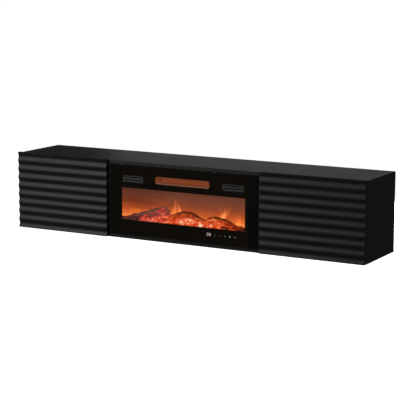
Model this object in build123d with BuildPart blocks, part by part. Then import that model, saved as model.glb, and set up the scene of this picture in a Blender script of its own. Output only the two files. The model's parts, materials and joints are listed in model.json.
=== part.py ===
from build123d import *
import math
import os

# Wall-hung media console with an electric fireplace insert in its middle bay.
# Millimetres, +Z up, front towards -Y. Origin: middle of the footprint, at the underside.

os.makedirs("parts", exist_ok=True)

# ---- Driving dimensions: cabinet ----
WIDTH = 2030.0            # across the cabinet
CARCASS_H = 409.0         # height of the cabinet box
CARCASS_D = 364.2         # depth of the cabinet box, without its doors
BOARD = 18.0              # board thickness
BACK_T = 5.0              # thickness of the cupboard backs
DIVIDER_IN = 428.0        # half width of the fireplace bay
DIVIDER_T = 25.0          # thickness of the bay's walls
RAIL_T = 18.0             # hanging rails
RAIL_UPPER_H = 70.0
RAIL_LOWER_H = 60.0

# ---- Driving dimensions: doors ----
DOOR_T = 18.0             # crest of a flute to the door's back
DOOR_GAP = 1.0            # door's back to the cabinet's front edges
DOOR_INNER = 448.5        # |x| of a door's inner end
DOOR_BOTTOM = 1.7         # height of a door's lower edge
DOOR_TOP = 413.5          # height of a door's upper edge, which stands proud as a finger lip
FLUTES = 9                # waves over a door's height
FLUTE_DEPTH = 6.0         # crest to valley

# ---- Driving dimensions: piano hinge ----
KNUCKLE_R = 2.5
PIN_R = 1.0
RUNNING = 0.06            # radial running clearance
PITCH = 29.5              # knuckle length
KNUCKLES = 18             # knuckles on one hinge
KNUCKLE_GAP = 0.4
LEAF_T = 1.0
LEAF_CLEAR = 3.0          # leaf's edge to the axis beside the other leaf's knuckles
BOARD_LEAF_H = 12.5       # leaf height above the axis, on the bottom board
DOOR_LEAF_H = 22.5        # leaf height above the axis, on the door
POCKET = 3.2              # rebate around the barrel

# ---- Driving dimensions: flap stay, as offsets from the hinge axis ----
PIVOT_Y, PIVOT_Z = 27.5, 80.0    # pivot of the arm on the closed door
ARM_Y, ARM_Z = 100.0, 45.0       # pivot to slot pin, the same at every door angle
STAY_PIN_R = 2.5
SLOT_R = 2.65
STAY_BAND = 22.0                 # width of the slotted plate
STAY_T = 2.5
ARM_W = 12.0
ARM_T = 2.0

# ---- Driving dimensions: fireplace insert ----
FLANGE_X = 434.0          # half width of the front frame
FRONT_PROUD = 3.7         # front face ahead of the cabinet's edges
FRONT_LOW, FRONT_HIGH = 18.5, 390.5
STRIP = 50.0              # width of the matte side strips
GLASS_T = 4.0
PRINT_T = 0.3
WINDOW_X = 361.5
WINDOW_LOW, WINDOW_HIGH = 101.5, 269.5
VENT_IN, VENT_OUT = 232.5, 355.0
VENT_LOW, VENT_HIGH = 301.0, 334.0
OUTLET_X = 158.5
OUTLET_LOW, OUTLET_HIGH = 302.5, 340.5
CASING_X = 424.0
CASING_LOW, CASING_HIGH = 20.0, 389.0
CASING_BACK = 150.0       # back of the casing behind the cabinet's front edges
SHEET = 1.2
TRAY_Z = 285.0            # floor of the heater compartment
FLOOR_Z = 98.0            # floor of the firebox
SCREEN_Y = 95.0           # flame screen behind the cabinet's front edges

# ---- Derived places ----
Y_BACK = (CARCASS_D + DOOR_GAP + DOOR_T) / 2
Y_FACE = Y_BACK - CARCASS_D                  # plane of the cabinet's front edges
DOOR_BACK = Y_FACE - DOOR_GAP
DOOR_FRONT = DOOR_BACK - DOOR_T
X_OUT = WIDTH / 2
X_IN = X_OUT - BOARD                         # inner face of an end panel
X_DIV = DIVIDER_IN + DIVIDER_T               # cupboard face of a divider
Z_TOP = CARCASS_H - BOARD                    # underside of the top board
AXIS_Y = Y_FACE - DOOR_GAP / 2
AXIS_Z = KNUCKLE_R
DOOR_MID = (DOOR_INNER + X_OUT) / 2
HINGE_L = PITCH * KNUCKLES
RAIL_BACK = Y_BACK - BACK_T
RAIL_FRONT = RAIL_BACK - RAIL_T

# ---- Wall fixing: 16 inch stud spacing ----
WALL_HOLE_R = 4.5
WALL_X = 16 * 25.4 * 2
WALL_Z_HIGH = 356.0
WALL_Z_LOW = 48.0

SIDES = {"left": -1, "right": 1}


def save(part, label):
    """Name a finished piece and write it."""
    part.label = label
    export_step(part, f"parts/{label}.step")


def span(side, a, b):
    """Limits of a stretch of x on one side of the cabinet, in rising order."""
    return tuple(sorted((side * a, side * b)))


def slab(x, y, z):
    """Square-edged piece between three pairs of limits."""
    with BuildPart() as piece:
        with BuildSketch(Plane.XY.offset(z[0])):
            with Locations(((x[0] + x[1]) / 2, (y[0] + y[1]) / 2)):
                Rectangle(x[1] - x[0], y[1] - y[0])
        extrude(amount=z[1] - z[0])
    return piece.part


def rod_x(radius, x, y, z):
    """Round bar along X."""
    with BuildPart() as piece:
        with BuildSketch(Plane.YZ.offset(x[0])):
            with Locations((y, z)):
                Circle(radius)
        extrude(amount=x[1] - x[0])
    return piece.part


def rod_y(radius, x, y, z):
    """Round bar along Y."""
    with BuildPart() as piece:
        with BuildSketch(Plane.XZ.offset(-y[1])):
            with Locations((x, z)):
                Circle(radius)
        extrude(amount=y[1] - y[0])
    return piece.part


def rod_z(radius, x, y, z):
    """Round bar along Z."""
    with BuildPart() as piece:
        with BuildSketch(Plane.XY.offset(z[0])):
            with Locations((x, y)):
                Circle(radius)
        extrude(amount=z[1] - z[0])
    return piece.part


def joined(shapes):
    """Several shapes as one piece, or as one group of separate solids."""
    with BuildPart() as piece:
        for shape in shapes:
            add(shape)
    return piece.part


def cut(body, tools):
    """A piece with other shapes taken out of it."""
    with BuildPart() as piece:
        add(body)
        for tool in tools:
            add(tool, mode=Mode.SUBTRACT)
    return piece.part


# ---- Cabinet ----
def mitred(points, y=(Y_FACE, Y_BACK)):
    """Board drawn in front view and run from the front edge to the back."""
    with BuildPart() as piece:
        with BuildSketch(Plane.XZ.offset(-y[1])):
            with BuildLine():
                Polyline(*points, close=True)
            make_face()
        extrude(amount=y[1] - y[0])
    return piece.part


def wall_holes(y):
    """Clearance holes for the four wall screws."""
    spots = [(sx * WALL_X, z) for sx in (-1, 1) for z in (WALL_Z_HIGH, WALL_Z_LOW)]
    return [rod_y(WALL_HOLE_R, x, y, z) for x, z in spots]


SHELF_Z = 205.0
SHELF_T = 16.0
SHELF_SET_BACK = 22.0
SHELF_END_GAP = 1.0
SHELF_BACK_GAP = 2.0
SHELF_PIN_R = 2.5
SHELF_PIN_L = 8.0
SHELF_PIN_FIT = 0.05
PIN_Y = (Y_FACE + 60.0, RAIL_FRONT - 40.0)


def pin_spots():
    """Places and x spans of the eight shelf pins."""
    spots = []
    for side in SIDES.values():
        for y in PIN_Y:
            spots.append((span(side, X_IN - SHELF_PIN_L, X_IN + SHELF_PIN_L), y))
            spots.append((span(side, X_DIV - SHELF_PIN_L, X_DIV + SHELF_PIN_L), y))
    return spots


def pin_holes():
    return [rod_x(SHELF_PIN_R, x, y, SHELF_Z - SHELF_PIN_R) for x, y in pin_spots()]


def shelf_pins():
    radius = SHELF_PIN_R - SHELF_PIN_FIT
    return joined([rod_x(radius, x, y, SHELF_Z - SHELF_PIN_R) for x, y in pin_spots()])


SCREW_R = 2.5
SCREW_HEAD_R = 4.5
SCREW_HEAD_T = 3.0
SCREW_L = 50.0
SCREW_Y = (Y_FACE + 40.0, 0.0, RAIL_FRONT - 30.0)
SCREW_TIP_GAP = 0.2       # screw's tip to the bottom of its hole


def divider_screws(length=SCREW_L):
    """Screws up through the bottom board into the dividers."""
    screws = []
    for side in SIDES.values():
        x = side * (DIVIDER_IN + X_DIV) / 2
        for y in SCREW_Y:
            shank = rod_z(SCREW_R, x, y, (0.0, length))
            head = rod_z(SCREW_HEAD_R, x, y, (0.0, SCREW_HEAD_T))
            screws.append(joined([shank, head]))
    return screws


def top_board():
    points = [(-X_OUT, CARCASS_H), (X_OUT, CARCASS_H), (X_IN, Z_TOP), (-X_IN, Z_TOP)]
    return mitred(points)


HINGE_PLAY = 1.0          # rebate past each end of the hinge
OVERCUT = 1.0             # reach of a cutting shape past the face it opens


def bottom_board():
    board = mitred([(-X_OUT, 0.0), (-X_IN, BOARD), (X_IN, BOARD), (X_OUT, 0.0)])
    tools = divider_screws()
    reach = HINGE_L / 2 + HINGE_PLAY
    outside = Y_FACE - OVERCUT
    for side in SIDES.values():
        x = span(side, DOOR_MID - reach, DOOR_MID + reach)
        tools.append(slab(x, (outside, AXIS_Y + POCKET), (-OVERCUT, AXIS_Z + POCKET)))
        tools.append(slab(x, (outside, Y_FACE + LEAF_T), (0.0, AXIS_Z + BOARD_LEAF_H)))
    return cut(board, tools)


def end_panel(side):
    outer, inner = side * X_OUT, side * X_IN
    panel = mitred([(outer, 0.0), (outer, CARCASS_H), (inner, Z_TOP), (inner, BOARD)])
    return cut(panel, pin_holes())


def rail(z, holes=True):
    bar = slab((-X_IN, X_IN), (RAIL_FRONT, RAIL_BACK), z)
    return cut(bar, wall_holes((RAIL_FRONT, RAIL_BACK))) if holes else bar


RAIL_UPPER_Z = (Z_TOP - RAIL_UPPER_H, Z_TOP)
RAIL_LOWER_Z = (BOARD, BOARD + RAIL_LOWER_H)


def divider(side):
    wall = slab(span(side, DIVIDER_IN, X_DIV), (Y_FACE, RAIL_BACK), (BOARD, Z_TOP))
    rails = [rail(RAIL_UPPER_Z, holes=False), rail(RAIL_LOWER_Z, holes=False)]
    return cut(wall, rails + pin_holes() + divider_screws() + insert_screws())


GROMMET_X = 600.0
GROMMET_Z = 150.0
GROMMET_HOLE_R = 30.0
GROMMET_LIP_R = 34.0
GROMMET_BORE_R = 26.0
GROMMET_LIP_T = 2.0


def back_panel(side):
    panel = slab(span(side, DIVIDER_IN, X_IN), (RAIL_BACK, Y_BACK), (BOARD, Z_TOP))
    hole = rod_y(GROMMET_HOLE_R, side * GROMMET_X, (RAIL_BACK, Y_BACK), GROMMET_Z)
    return cut(panel, [hole] + wall_holes((RAIL_BACK, Y_BACK)))


def cable_grommets():
    rings = []
    for side in SIDES.values():
        x = side * GROMMET_X
        lip_y = (RAIL_BACK - GROMMET_LIP_T, RAIL_BACK)
        lip = rod_y(GROMMET_LIP_R, x, lip_y, GROMMET_Z)
        tube = rod_y(GROMMET_HOLE_R, x, (RAIL_BACK, Y_BACK), GROMMET_Z)
        bore = rod_y(GROMMET_BORE_R, x, (lip_y[0], Y_BACK), GROMMET_Z)
        rings.append(cut(joined([lip, tube]), [bore]))
    return joined(rings)


def shelf(side):
    x = span(side, X_DIV + SHELF_END_GAP, X_IN - SHELF_END_GAP)
    y = (Y_FACE + SHELF_SET_BACK, RAIL_FRONT - SHELF_BACK_GAP)
    return slab(x, y, (SHELF_Z, SHELF_Z + SHELF_T))


BRACKET_LEG = 22.0
BRACKET_T = 2.0
BRACKET_W = 16.0
BRACKET_Y = (Y_FACE + 90.0, RAIL_FRONT - 60.0)


def angle_brackets():
    """Steel angles that fix the ends and the dividers to the top board."""
    angles = []
    for side in SIDES.values():
        for face, inward in ((X_IN, -1), (X_DIV, 1)):
            for y in BRACKET_Y:
                width = (y - BRACKET_W / 2, y + BRACKET_W / 2)
                upright = span(side, face, face + inward * BRACKET_T)
                flat = span(side, face, face + inward * BRACKET_LEG)
                leg = slab(upright, width, (Z_TOP - BRACKET_LEG, Z_TOP))
                top = slab(flat, width, (Z_TOP - BRACKET_T, Z_TOP))
                angles.append(joined([leg, top]))
    return joined(angles)


# ---- Piano hinges ----
def leaf(side, first, plate_y, height):
    """One hinge leaf: a plate and every second knuckle, counted from first."""
    start = side * DOOR_MID - HINGE_L / 2
    whole = (start, start + HINGE_L)
    shapes = [slab(whole, plate_y, (AXIS_Z + LEAF_CLEAR, AXIS_Z + height))]
    for index in range(first, KNUCKLES, 2):
        x = (start + index * PITCH + KNUCKLE_GAP / 2, start + (index + 1) * PITCH - KNUCKLE_GAP / 2)
        shapes.append(rod_x(KNUCKLE_R, x, AXIS_Y, AXIS_Z))
        shapes.append(slab(x, plate_y, (AXIS_Z, AXIS_Z + LEAF_CLEAR)))
    return cut(joined(shapes), [rod_x(PIN_R + RUNNING, whole, AXIS_Y, AXIS_Z)])


def board_hinge_leaves():
    plate_y = (Y_FACE, Y_FACE + LEAF_T)
    return joined([leaf(side, 0, plate_y, BOARD_LEAF_H) for side in SIDES.values()])


def door_hinge_leaf(side):
    return leaf(side, 1, (DOOR_BACK - LEAF_T, DOOR_BACK), DOOR_LEAF_H)


def hinge_pins():
    pins = []
    for side in SIDES.values():
        x = (side * DOOR_MID - HINGE_L / 2, side * DOOR_MID + HINGE_L / 2)
        pins.append(rod_x(PIN_R, x, AXIS_Y, AXIS_Z))
    return joined(pins)


# ---- Doors ----
def door(side):
    """Flap with horizontal flutes: equal arcs, crest first and crest last."""
    period = (DOOR_TOP - DOOR_BOTTOM) / FLUTES
    quarter = period / 4
    half_depth = FLUTE_DEPTH / 2
    radius = (quarter ** 2 + half_depth ** 2) / FLUTE_DEPTH
    mid_y = DOOR_FRONT + half_depth
    rise = quarter / 2
    near_y = DOOR_FRONT + radius - math.sqrt(radius ** 2 - rise ** 2)
    x = span(side, DOOR_INNER, X_OUT)
    with BuildPart() as flap:
        with BuildSketch(Plane.YZ.offset(x[0])):
            with BuildLine():
                ThreePointArc((DOOR_FRONT, DOOR_BOTTOM), (near_y, DOOR_BOTTOM + rise),
                              (mid_y, DOOR_BOTTOM + quarter))
                for index in range(2 * FLUTES - 1):
                    low = DOOR_BOTTOM + quarter + index * period / 2
                    peak = DOOR_FRONT if index % 2 else DOOR_FRONT + FLUTE_DEPTH
                    ThreePointArc((mid_y, low), (peak, low + quarter), (mid_y, low + period / 2))
                ThreePointArc((mid_y, DOOR_TOP - quarter), (near_y, DOOR_TOP - rise),
                              (DOOR_FRONT, DOOR_TOP))
                Polyline((DOOR_FRONT, DOOR_TOP),
                         (DOOR_BACK, DOOR_TOP),
                         (DOOR_BACK, AXIS_Z + DOOR_LEAF_H),
                         (DOOR_BACK - LEAF_T, AXIS_Z + DOOR_LEAF_H),
                         (DOOR_BACK - LEAF_T, AXIS_Z + POCKET),
                         (AXIS_Y - POCKET, AXIS_Z + POCKET),
                         (AXIS_Y - POCKET, DOOR_BOTTOM),
                         (DOOR_FRONT, DOOR_BOTTOM))
            make_face()
        extrude(amount=x[1] - x[0])
    return flap.part


CATCH_H = 13.0
CATCH_D = 14.0
CATCH_Z = (Z_TOP - CATCH_H, Z_TOP)
CATCH_HALF = 23.0
STRIKE_INSET = 1.0        # strike plate's edge inside the catch's outline
STRIKE_T = 0.8
STRIKE_HALF = 20.0
BUMPER_X = (520.0, 950.0)
BUMPER_R = 4.0
BUMPER_T = 0.9


def magnet_catches():
    bodies = []
    for side in SIDES.values():
        x = (side * DOOR_MID - CATCH_HALF, side * DOOR_MID + CATCH_HALF)
        bodies.append(slab(x, (Y_FACE, Y_FACE + CATCH_D), CATCH_Z))
    return joined(bodies)


def strike_plate(side):
    x = (side * DOOR_MID - STRIKE_HALF, side * DOOR_MID + STRIKE_HALF)
    z = (CATCH_Z[0] + STRIKE_INSET, CATCH_Z[1] - STRIKE_INSET)
    return slab(x, (DOOR_BACK, DOOR_BACK + STRIKE_T), z)


def door_bumpers():
    z = CARCASS_H - BOARD / 2
    y = (Y_FACE - BUMPER_T, Y_FACE)
    return joined([rod_y(BUMPER_R, side * x, y, z) for side in SIDES.values() for x in BUMPER_X])


# ---- Flap stays ----
def stay_arc():
    """Path of the slot pin while the door turns through a right angle."""
    radius = math.hypot(PIVOT_Y, PIVOT_Z)
    start = math.degrees(math.atan2(PIVOT_Z, PIVOT_Y))
    return CenterArc((AXIS_Y + ARM_Y, AXIS_Z + ARM_Z), radius, start, 90.0, mode=Mode.PRIVATE)


def stay_plate(side):
    x = span(side, X_IN - STAY_T, X_IN)
    with BuildPart() as plate:
        with BuildSketch(Plane.YZ.offset(x[0])):
            SlotArc(stay_arc(), STAY_BAND)
            SlotArc(stay_arc(), 2 * SLOT_R, mode=Mode.SUBTRACT)
        extrude(amount=STAY_T)
    return plate.part


ARM_GAP = 1.0             # slotted plate to arm
WING_GAP = 0.6            # arm to bracket
PIN_GAP = 0.4             # pin's head to bracket, and pin's tip to the end panel
ARM_X = (X_IN - STAY_T - ARM_GAP - ARM_T, X_IN - STAY_T - ARM_GAP)
WING_X = (ARM_X[0] - WING_GAP - ARM_T, ARM_X[0] - WING_GAP)
PIVOT_HEAD_T = 1.5
PIVOT_HEAD_R = 4.5
STAY_BRACKET_HALF = 14.0
STAY_BRACKET_REACH = 9.0  # wing past the pivot
STAY_BASE_W = 18.0
STAY_BASE_T = 2.0


def stay_arm(side):
    """Flat arm with a pin in the slot and a headed pivot through the door's bracket."""
    pivot = (AXIS_Y + PIVOT_Y, AXIS_Z + PIVOT_Z)
    length = math.hypot(ARM_Y, ARM_Z)
    centre = (pivot[0] + ARM_Y / 2, pivot[1] + ARM_Z / 2)
    tilt = math.degrees(math.atan2(ARM_Z, ARM_Y))
    x = span(side, *ARM_X)
    with BuildPart() as arm:
        with BuildSketch(Plane.YZ.offset(x[0])):
            with Locations(Location(centre, tilt)):
                SlotCenterToCenter(length, ARM_W)
        extrude(amount=ARM_T)
        slot_pin = (pivot[0] + ARM_Y, pivot[1] + ARM_Z)
        add(rod_x(STAY_PIN_R, span(side, ARM_X[0], X_IN - PIN_GAP), *slot_pin))
        head = (WING_X[0] - PIN_GAP - PIVOT_HEAD_T, WING_X[0] - PIN_GAP)
        add(rod_x(STAY_PIN_R, span(side, head[0], ARM_X[1]), *pivot))
        add(rod_x(PIVOT_HEAD_R, span(side, *head), *pivot))
    return arm.part


def stay_bracket(side):
    """Angle bracket on the door's back that carries the arm's pivot."""
    pivot = (AXIS_Y + PIVOT_Y, AXIS_Z + PIVOT_Z)
    z = (pivot[1] - STAY_BRACKET_HALF, pivot[1] + STAY_BRACKET_HALF)
    base_x = span(side, WING_X[0] - STAY_BASE_W, WING_X[1])
    base = slab(base_x, (DOOR_BACK, DOOR_BACK + STAY_BASE_T), z)
    wing = slab(span(side, *WING_X), (DOOR_BACK, pivot[0] + STAY_BRACKET_REACH), z)
    through = span(side, WING_X[0] - OVERCUT, WING_X[1] + OVERCUT)
    hole = rod_x(STAY_PIN_R + RUNNING, through, *pivot)
    return cut(joined([base, wing]), [hole])


# ---- Fireplace insert: front ----
def rounded_bar(half, low, high, y, corner, middle=0.0):
    """Round-cornered block drawn in front view."""
    with BuildPart() as piece:
        with BuildSketch(Plane.XZ.offset(-y[1])):
            with Locations((middle, (low + high) / 2)):
                RectangleRounded(2 * half, high - low, corner)
        extrude(amount=y[1] - y[0])
    return piece.part


FRAME_FRONT = Y_FACE - FRONT_PROUD
FRAME_RAIL_Y = (Y_FACE + 0.6, Y_FACE + 1.8)   # steel rails behind the glass
FRAME_RAIL_H = 12.0
GLASS_X = FLANGE_X - STRIP
GLASS_GAP = 0.2
PLUG_X = DIVIDER_IN - 0.5  # part of the frame inside the bay
FRONT_Z = (FRONT_LOW, FRONT_HIGH)


def front_frame():
    shapes = []
    for side in SIDES.values():
        shapes.append(slab(span(side, GLASS_X, FLANGE_X), (FRAME_FRONT, Y_FACE), FRONT_Z))
        shapes.append(slab(span(side, GLASS_X, PLUG_X), (Y_FACE, FRAME_RAIL_Y[1]), FRONT_Z))
    rail_x = (-GLASS_X, GLASS_X)
    shapes.append(slab(rail_x, FRAME_RAIL_Y, (FRONT_LOW, FRONT_LOW + FRAME_RAIL_H)))
    shapes.append(slab(rail_x, FRAME_RAIL_Y, (FRONT_HIGH - FRAME_RAIL_H, FRONT_HIGH)))
    return joined(shapes)


VENT_MID = (VENT_IN + VENT_OUT) / 2
VENT_HALF = (VENT_OUT - VENT_IN) / 2
VENT_CORNER = 4.0
OUTLET_CORNER = 12.0
GRILLE_FIT = 0.3


def front_openings(y):
    """Cut-outs of the two vents and the heat outlet."""
    tools = [rounded_bar(OUTLET_X, OUTLET_LOW, OUTLET_HIGH, y, OUTLET_CORNER)]
    for side in SIDES.values():
        tools.append(rounded_bar(VENT_HALF, VENT_LOW, VENT_HIGH, y, VENT_CORNER, side * VENT_MID))
    return tools


def front_glass():
    y = (FRAME_FRONT, FRAME_FRONT + GLASS_T)
    pane = slab((-GLASS_X + GLASS_GAP, GLASS_X - GLASS_GAP), y, FRONT_Z)
    return cut(pane, front_openings(y))


DISPLAY_X = (141.0, 173.0)
DISPLAY_Z = (57.0, 79.0)
TOUCH_FIRST, TOUCH_PITCH, TOUCH_COUNT = 192.0, 28.3, 5
TOUCH_Z = 67.0
TOUCH_R = 7.0


def touch_spots():
    return [TOUCH_FIRST + index * TOUCH_PITCH for index in range(TOUCH_COUNT)]


def glass_mask():
    """Black print behind the glass, open at the window, the vents, the display and the keys."""
    y = (FRAME_FRONT + GLASS_T, FRAME_FRONT + GLASS_T + PRINT_T)
    sheet = slab((-GLASS_X + GLASS_GAP, GLASS_X - GLASS_GAP), y, FRONT_Z)
    tools = front_openings(y)
    tools.append(slab((-WINDOW_X, WINDOW_X), y, (WINDOW_LOW, WINDOW_HIGH)))
    tools.append(slab(DISPLAY_X, y, DISPLAY_Z))
    tools += [rod_y(TOUCH_R, x, y, TOUCH_Z) for x in touch_spots()]
    return cut(sheet, tools)


LOUVRE = 5.0
LOUVRE_PITCH = 14.0
LOUVRE_COUNT = 2
LOUVRE_RISE = 2.0         # slots above the plate's middle
LOUVRE_END = 4.0          # slot's end to the plate's end
GRILLE_Y = (FRAME_FRONT + 1.2, FRAME_FRONT + 3.2)


def vent_grille(side):
    """Intake grille: a plate with two long slots between three broad bars."""
    half = VENT_HALF - GRILLE_FIT
    plate = rounded_bar(half, VENT_LOW + GRILLE_FIT, VENT_HIGH - GRILLE_FIT, GRILLE_Y,
                        VENT_CORNER - GRILLE_FIT, side * VENT_MID)
    middle = (VENT_LOW + VENT_HIGH) / 2 + LOUVRE_RISE
    slots = []
    for index in range(LOUVRE_COUNT):
        z = middle + (index - (LOUVRE_COUNT - 1) / 2) * LOUVRE_PITCH
        x = (side * VENT_MID - half + LOUVRE_END, side * VENT_MID + half - LOUVRE_END)
        slots.append(slab(x, GRILLE_Y, (z - LOUVRE / 2, z + LOUVRE / 2)))
    return cut(plate, slots)


OUTLET_SLOT = 3.4
OUTLET_SLOT_COUNT = 36
OUTLET_SLOT_H = OUTLET_HIGH - OUTLET_LOW - 8.0
OUTLET_END = 8.0          # plate's end to the first slot's half pitch


def outlet_grille():
    """Heat outlet guard: a plate with a row of upright slots."""
    half = OUTLET_X - GRILLE_FIT
    plate = rounded_bar(half, OUTLET_LOW + GRILLE_FIT, OUTLET_HIGH - GRILLE_FIT, GRILLE_Y,
                        OUTLET_CORNER - GRILLE_FIT)
    pitch = 2 * (half - OUTLET_END) / OUTLET_SLOT_COUNT
    middle = (OUTLET_LOW + OUTLET_HIGH) / 2
    with BuildPart() as grille:
        add(plate)
        with BuildSketch(Plane.XZ.offset(-GRILLE_Y[1])):
            with Locations((0.0, middle)):
                with GridLocations(pitch, 1.0, OUTLET_SLOT_COUNT, 1):
                    Rectangle(OUTLET_SLOT, OUTLET_SLOT_H)
        extrude(amount=GRILLE_Y[1] - GRILLE_Y[0], mode=Mode.SUBTRACT)
    return grille.part


# ---- Fireplace insert: casing ----
CASE_Y = (FRAME_RAIL_Y[1], Y_FACE + CASING_BACK)
CASE_IN_X = CASING_X - SHEET
CASE_IN_Z = (CASING_LOW + SHEET, CASING_HIGH - SHEET)
CASE_BACK_Y = (CASE_Y[1] - SHEET, CASE_Y[1])
INNER = (-CASE_IN_X, CASE_IN_X)
INLET_X, SWITCH_X = 330.0, 290.0
POWER_Z = 55.0
INLET_W, INLET_H = 27.0, 19.5
SWITCH_W, SWITCH_H = 19.0, 13.0
POWER_LIP = 2.0
INLET_DEPTH = 18.0
INLET_LIP_W, INLET_LIP_H = 33.0, 24.5
RECESS_W, RECESS_H, RECESS_D = 22.6, 15.6, 14.0
BLADES = ((-7.0, -1.5), (0.0, 2.5), (7.0, -1.5))
BLADE_HALF_W, BLADE_HALF_H = 1.0, 2.0
BLADE_SET_BACK = 3.0


def block_at(x, width, height, y):
    """Block centred on the height of the power inlet."""
    return slab((x - width / 2, x + width / 2), y, (POWER_Z - height / 2, POWER_Z + height / 2))


def casing_back():
    sheet = slab(INNER, CASE_BACK_Y, CASE_IN_Z)
    tools = [block_at(INLET_X, INLET_W, INLET_H, CASE_BACK_Y),
             block_at(SWITCH_X, SWITCH_W, SWITCH_H, CASE_BACK_Y)]
    return cut(sheet, tools)


def power_inlet():
    """Three-pole inlet socket in the casing's back, open to the rear."""
    outer = CASE_BACK_Y[1] + POWER_LIP
    lip = block_at(INLET_X, INLET_LIP_W, INLET_LIP_H, (CASE_BACK_Y[1], outer))
    shell = block_at(INLET_X, INLET_W, INLET_H, (outer - INLET_DEPTH, outer))
    recess = block_at(INLET_X, RECESS_W, RECESS_H, (outer - RECESS_D, outer))
    blades = []
    for dx, dz in BLADES:
        x = (INLET_X + dx - BLADE_HALF_W, INLET_X + dx + BLADE_HALF_W)
        z = (POWER_Z + dz - BLADE_HALF_H, POWER_Z + dz + BLADE_HALF_H)
        blades.append(slab(x, (outer - RECESS_D, outer - BLADE_SET_BACK), z))
    return joined([cut(joined([lip, shell]), [recess])] + blades)


ROCKER_AXIS_Y = CASE_BACK_Y[1] - 1.5
ROCKER_PIN_R = 1.2
ROCKER_HALF = 7.6
ROCKER_H = 9.2
AXLE_HALF = 5.6
AXLE_PLAY = 0.2
SWITCH_DEPTH = 16.0
SWITCH_LIP = 4.0
WELL_W, WELL_H, WELL_D = 16.6, 10.0, 12.0


def switch_housing():
    """Frame of the mains switch, open to the rear for its rocker."""
    outer = CASE_BACK_Y[1] + POWER_LIP
    lip_y = (CASE_BACK_Y[1], outer)
    lip = block_at(SWITCH_X, SWITCH_W + SWITCH_LIP, SWITCH_H + SWITCH_LIP, lip_y)
    shell = block_at(SWITCH_X, SWITCH_W, SWITCH_H, (outer - SWITCH_DEPTH, outer))
    well = block_at(SWITCH_X, WELL_W, WELL_H, (outer - WELL_D, outer))
    axle_z = (POWER_Z - AXLE_HALF - AXLE_PLAY, POWER_Z + AXLE_HALF + AXLE_PLAY)
    bearing = rod_z(ROCKER_PIN_R + RUNNING, SWITCH_X, ROCKER_AXIS_Y, axle_z)
    return cut(joined([lip, shell]), [well, bearing])


def power_rocker():
    """Rocker of the mains switch, shown in its off position."""
    y = ROCKER_AXIS_Y
    left, right = SWITCH_X - ROCKER_HALF, SWITCH_X + ROCKER_HALF
    with BuildPart() as rocker:
        with BuildSketch(Plane.XY.offset(POWER_Z - ROCKER_H / 2)):
            with BuildLine():
                Polyline((left + 0.6, y - 1.0),
                         (SWITCH_X, y - 3.4),
                         (right - 1.0, y - 3.6),
                         (right - 0.2, y + 0.4),
                         (SWITCH_X, y + 2.6),
                         (left + 0.2, y + 4.4),
                         close=True)
            make_face()
        extrude(amount=ROCKER_H)
        add(rod_z(ROCKER_PIN_R, SWITCH_X, y, (POWER_Z - AXLE_HALF, POWER_Z + AXLE_HALF)))
    return rocker.part


INSERT_SCREW_Z = (70.0, 205.0, 340.0)
INSERT_SCREW_Y = Y_FACE + 30.0
INSERT_HEAD_R, INSERT_HEAD_T = 3.6, 1.8
INSERT_SHANK_R, INSERT_DEPTH = 1.9, 14.0


def insert_screws():
    """Screws through the casing's sides into the dividers."""
    screws = []
    for side in SIDES.values():
        for z in INSERT_SCREW_Z:
            head_x = span(side, CASE_IN_X - INSERT_HEAD_T, CASE_IN_X)
            shank_x = span(side, CASE_IN_X, DIVIDER_IN + INSERT_DEPTH)
            head = rod_x(INSERT_HEAD_R, head_x, INSERT_SCREW_Y, z)
            shank = rod_x(INSERT_SHANK_R, shank_x, INSERT_SCREW_Y, z)
            screws.append(joined([head, shank]))
    return screws


def casing_side(side):
    return cut(slab(span(side, CASE_IN_X, CASING_X), CASE_Y, CASE_IN_Z), insert_screws())


# ---- Fireplace insert: fire bed and flame effect ----
BED_Y = (Y_FACE + 10.0, Y_FACE + 90.0)
BED_X = 385.0
BED_LOW = FLOOR_Z + SHEET
BED_RIM = 8.0
BED_CREST = 26.0
LOG_R = 17.0
SCREEN_T = 2.0


def ember_bed():
    """Moulded translucent bed of embers, low at the front and heaped in the middle."""
    with BuildPart() as bed:
        with BuildSketch(Plane.YZ.offset(-BED_X)):
            with BuildLine():
                Polyline((BED_Y[0], BED_LOW), (BED_Y[1], BED_LOW), (BED_Y[1], BED_LOW + BED_RIM))
                middle = ((BED_Y[0] + BED_Y[1]) / 2, BED_LOW + BED_CREST)
                ThreePointArc((BED_Y[1], BED_LOW + BED_RIM), middle, (BED_Y[0], BED_LOW + BED_RIM))
                Line((BED_Y[0], BED_LOW + BED_RIM), (BED_Y[0], BED_LOW))
            make_face()
        extrude(amount=2 * BED_X)
    return bed.part


def log(x, z, y):
    """Moulded log: a straight round bar between two points, sunk in the ember bed."""
    start = Vector(x[0], Y_FACE + y[0], z[0])
    end = Vector(x[1], Y_FACE + y[1], z[1])
    way = end - start
    with BuildPart() as bar:
        with BuildSketch(Plane(origin=start, z_dir=way)):
            Circle(LOG_R)
        extrude(amount=way.length)
    under = slab(INNER, CASE_Y, (CASING_LOW, BED_LOW))
    return cut(bar.part, [ember_bed(), under]).solids().sort_by(SortBy.VOLUME)[-1]


SPINDLE_Y, SPINDLE_Z = Y_FACE + 123.0, 84.0
SPINDLE_R = 3.0
FIN_W = 28.0
FIN_L = 38.0
FIN_T = 0.8
FIN_COUNT = 18
FIN_GAP = 2.0
FIN_TURN = 45.0           # turn from one fin to the next
SPINDLE_X = 380.0         # half length of the finned part
SPINDLE_END = 26.0        # bare rod past the fins
MOTOR_R = 18.0
MOTOR_GAP = 14.0          # fins to motor, and fins to bearing
BEARING_HALF = 12.0
BORE_START, BORE_END = 10.0, 30.0


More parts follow.
